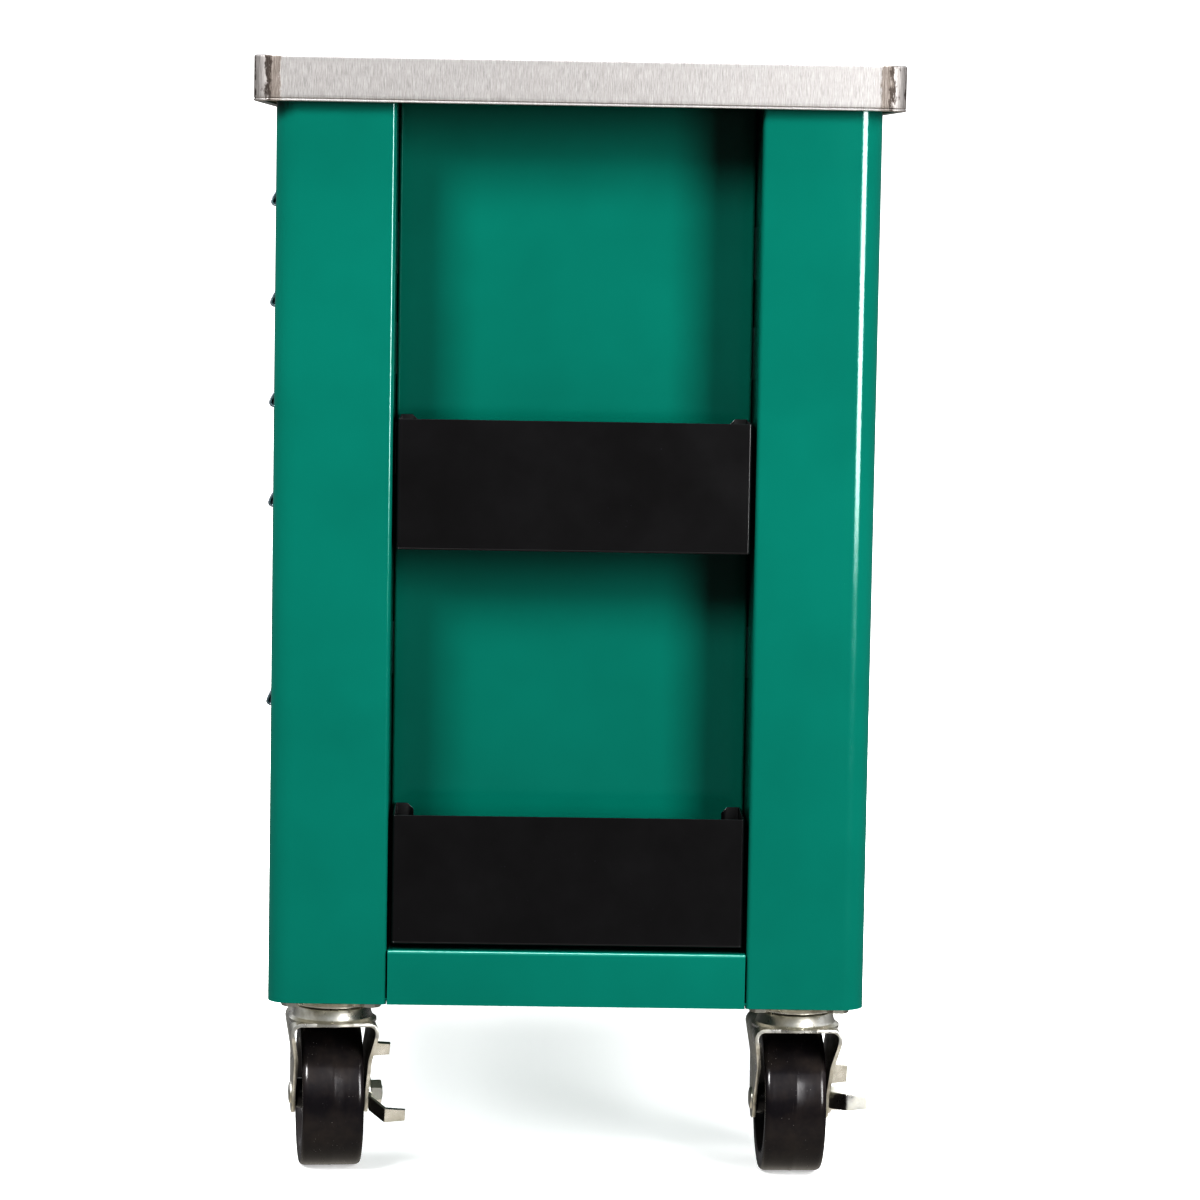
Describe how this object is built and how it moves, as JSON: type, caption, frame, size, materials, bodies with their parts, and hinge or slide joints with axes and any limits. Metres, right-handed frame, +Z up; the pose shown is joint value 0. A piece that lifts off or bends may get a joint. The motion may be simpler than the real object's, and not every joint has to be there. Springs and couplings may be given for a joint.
{
  "type": "rolling tool chest",
  "caption": "Wheeled sheet-steel tool chest with a stainless steel worktop, full-width drawers at the front and open bins set into both ends.",
  "frame": {"origin": "on the floor, under the centre of the worktop's outline", "axes": "+X towards the end with the swivel casters, -Y towards the drawers, +Z up"},
  "size_m": [1.064, 0.538, 0.95],
  "materials": {
    "green_paint": "satin powder coat, fine orange peel",
    "stainless": "brushed, corners ground by hand",
    "board": "raw fibreboard",
    "black_sheet": "satin black powder coat",
    "anodised_pull": "clear anodised extrusion",
    "wheel_plastic": "moulded, glossy, light scuffs",
    "zinc_plate": "bright zinc plate, faintly yellow",
    "slide_steel": "zinc plated, rolled",
    "chrome_lock": "polished"
  },
  "bodies": {
    "cabinet": {"post_front_right": "green_paint", "post_rear_right": "green_paint", "post_front_left": "green_paint", "post_rear_left": "green_paint", "side_panel_right": "green_paint", "side_panel_left": "green_paint", "side_rail_right": "green_paint", "side_rail_left": "green_paint", "back_panel": "green_paint", "base_pan": "green_paint", "header": "green_paint", "sill": "green_paint", "worktop": "stainless", "worktop_core": "board", "bin_upper_right": "black_sheet", "bin_lower_right": "black_sheet", "bin_upper_left": "black_sheet", "bin_lower_left": "black_sheet", "bin_rivets": "zinc_plate", "fixed_slides": "slide_steel", "lock_barrel": "chrome_lock", "caster_plates": "zinc_plate", "caster_bolts": "zinc_plate", "kingpins": "zinc_plate", "rigid_forks": "zinc_plate", "rigid_axles": "zinc_plate"},
    "drawer_1": {"drawer_1": "green_paint", "pull_1": "anodised_pull", "drawer_slide_1": "slide_steel"},
    "mid_1": {"mid_slide_1": "slide_steel"},
    "drawer_2": {"drawer_2": "green_paint", "pull_2": "anodised_pull", "drawer_slide_2": "slide_steel"},
    "mid_2": {"mid_slide_2": "slide_steel"},
    "drawer_3": {"drawer_3": "green_paint", "pull_3": "anodised_pull", "drawer_slide_3": "slide_steel"},
    "mid_3": {"mid_slide_3": "slide_steel"},
    "drawer_4": {"drawer_4": "green_paint", "pull_4": "anodised_pull", "drawer_slide_4": "slide_steel"},
    "mid_4": {"mid_slide_4": "slide_steel"},
    "drawer_5": {"drawer_5": "green_paint", "pull_5": "anodised_pull", "drawer_slide_5": "slide_steel"},
    "mid_5": {"mid_slide_5": "slide_steel"},
    "lock": {"lock_plug": "chrome_lock"},
    "lock_bar": {"lock_bar": "slide_steel"},
    "fork_front": {"fork_front": "zinc_plate", "axle_front": "zinc_plate"},
    "wheel_swivel_front": {"wheel_swivel_front": "wheel_plastic"},
    "pedal_front": {"pedal_front": "zinc_plate"},
    "fork_rear": {"fork_rear": "zinc_plate", "axle_rear": "zinc_plate"},
    "wheel_swivel_rear": {"wheel_swivel_rear": "wheel_plastic"},
    "pedal_rear": {"pedal_rear": "zinc_plate"},
    "wheel_rigid_front": {"wheel_rigid_front": "wheel_plastic"},
    "wheel_rigid_rear": {"wheel_rigid_rear": "wheel_plastic"}
  },
  "joints": [
    {"name": "drawer_1_slide", "type": "slide", "parent": "cabinet", "child": "drawer_1", "axis": [0, -1, 0], "range_m": [0, 0.4]},
    {"name": "mid_1_slide", "type": "slide", "parent": "cabinet", "child": "mid_1", "axis": [0, -1, 0], "range_m": [0, 0.2]},
    {"name": "drawer_2_slide", "type": "slide", "parent": "cabinet", "child": "drawer_2", "axis": [0, -1, 0], "range_m": [0, 0.4]},
    {"name": "mid_2_slide", "type": "slide", "parent": "cabinet", "child": "mid_2", "axis": [0, -1, 0], "range_m": [0, 0.2]},
    {"name": "drawer_3_slide", "type": "slide", "parent": "cabinet", "child": "drawer_3", "axis": [0, -1, 0], "range_m": [0, 0.4]},
    {"name": "mid_3_slide", "type": "slide", "parent": "cabinet", "child": "mid_3", "axis": [0, -1, 0], "range_m": [0, 0.2]},
    {"name": "drawer_4_slide", "type": "slide", "parent": "cabinet", "child": "drawer_4", "axis": [0, -1, 0], "range_m": [0, 0.4]},
    {"name": "mid_4_slide", "type": "slide", "parent": "cabinet", "child": "mid_4", "axis": [0, -1, 0], "range_m": [0, 0.2]},
    {"name": "drawer_5_slide", "type": "slide", "parent": "cabinet", "child": "drawer_5", "axis": [0, -1, 0], "range_m": [0, 0.4]},
    {"name": "mid_5_slide", "type": "slide", "parent": "cabinet", "child": "mid_5", "axis": [0, -1, 0], "range_m": [0, 0.2]},
    {"name": "lock_turn", "type": "hinge", "parent": "cabinet", "child": "lock", "pos_m": [0.34, -0.24, 0.88], "axis": [0, -1, 0], "range_deg": [0, 90]},
    {"name": "lock_bar_lift", "type": "slide", "parent": "cabinet", "child": "lock_bar", "axis": [0, 0, 1], "range_m": [0, 0.012]},
    {"name": "swivel_front", "type": "hinge", "parent": "cabinet", "child": "fork_front", "pos_m": [0.452, -0.198, 0.14], "axis": [0, 0, 1], "continuous": true},
    {"name": "spin_swivel_front", "type": "hinge", "parent": "fork_front", "child": "wheel_swivel_front", "pos_m": [0.41421, -0.20197, 0.0625], "axis": [-0.1045, 0.9945, 0], "continuous": true},
    {"name": "brake_front", "type": "hinge", "parent": "fork_front", "child": "pedal_front", "pos_m": [0.41421, -0.20197, 0.0625], "axis": [0.1045, -0.9945, 0], "range_deg": [0, 22]},
    {"name": "swivel_rear", "type": "hinge", "parent": "cabinet", "child": "fork_rear", "pos_m": [0.452, 0.198, 0.14], "axis": [0, 0, 1], "continuous": true},
    {"name": "spin_swivel_rear", "type": "hinge", "parent": "fork_rear", "child": "wheel_swivel_rear", "pos_m": [0.41402, 0.19667, 0.0625], "axis": [-0.0349, 0.9994, 0], "continuous": true},
    {"name": "brake_rear", "type": "hinge", "parent": "fork_rear", "child": "pedal_rear", "pos_m": [0.41402, 0.19667, 0.0625], "axis": [0.0349, -0.9994, 0], "range_deg": [-22, 0]},
    {"name": "spin_rigid_front", "type": "hinge", "parent": "cabinet", "child": "wheel_rigid_front", "pos_m": [-0.452, -0.198, 0.0625], "axis": [0, 1, 0], "continuous": true},
    {"name": "spin_rigid_rear", "type": "hinge", "parent": "cabinet", "child": "wheel_rigid_rear", "pos_m": [-0.452, 0.198, 0.0625], "axis": [0, 1, 0], "continuous": true}
  ],
  "couplings": [
    {"joint": "mid_1_slide", "follows": "drawer_1_slide", "ratio": 0.5},
    {"joint": "mid_2_slide", "follows": "drawer_2_slide", "ratio": 0.5},
    {"joint": "mid_3_slide", "follows": "drawer_3_slide", "ratio": 0.5},
    {"joint": "mid_4_slide", "follows": "drawer_4_slide", "ratio": 0.5},
    {"joint": "mid_5_slide", "follows": "drawer_5_slide", "ratio": 0.5},
    {"joint": "lock_turn", "follows": "lock_bar_lift", "rad_per_m": 130.89}
  ]
}
